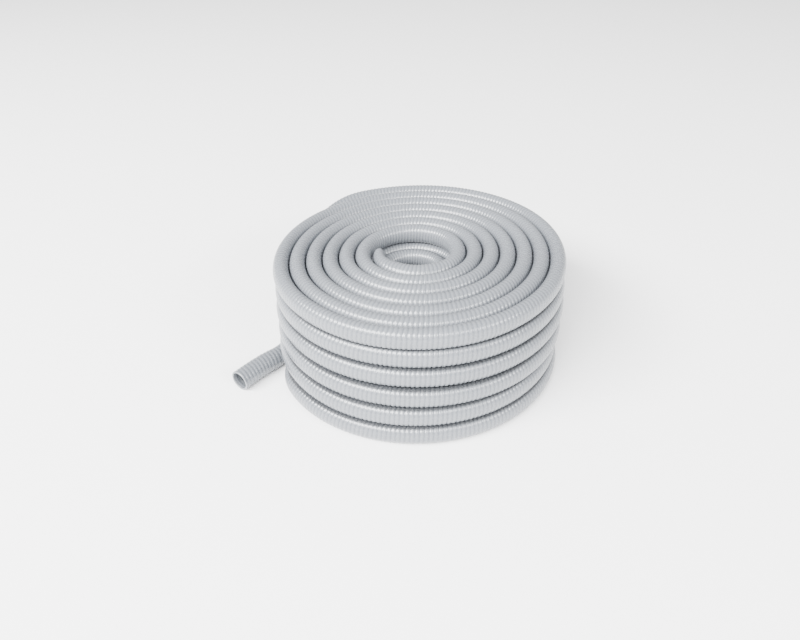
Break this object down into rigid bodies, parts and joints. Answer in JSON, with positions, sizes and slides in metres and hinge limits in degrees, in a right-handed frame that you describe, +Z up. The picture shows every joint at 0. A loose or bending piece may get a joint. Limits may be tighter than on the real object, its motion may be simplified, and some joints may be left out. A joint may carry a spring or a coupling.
{
  "type": "pool vacuum hose",
  "caption": "Ribbed suction hose for a pool cleaner, wound in a round coil of stacked flat layers, with one end lying free on the floor.",
  "frame": {"origin": "middle of the whole part's footprint, on the floor that the coil lies on", "axes": "+Z up along the coil's axis, +Y away from the viewer of the picture, +X to the viewer's right; the free outer end points towards -X and -Y"},
  "size_m": [0.6978, 0.6512, 0.2561],
  "materials": {
    "hose": "matte"
  },
  "bodies": {
    "root": {"outer_turns": "hose", "inner_turns": "hose", "outer_end": "hose"}
  },
  "joints": []
}
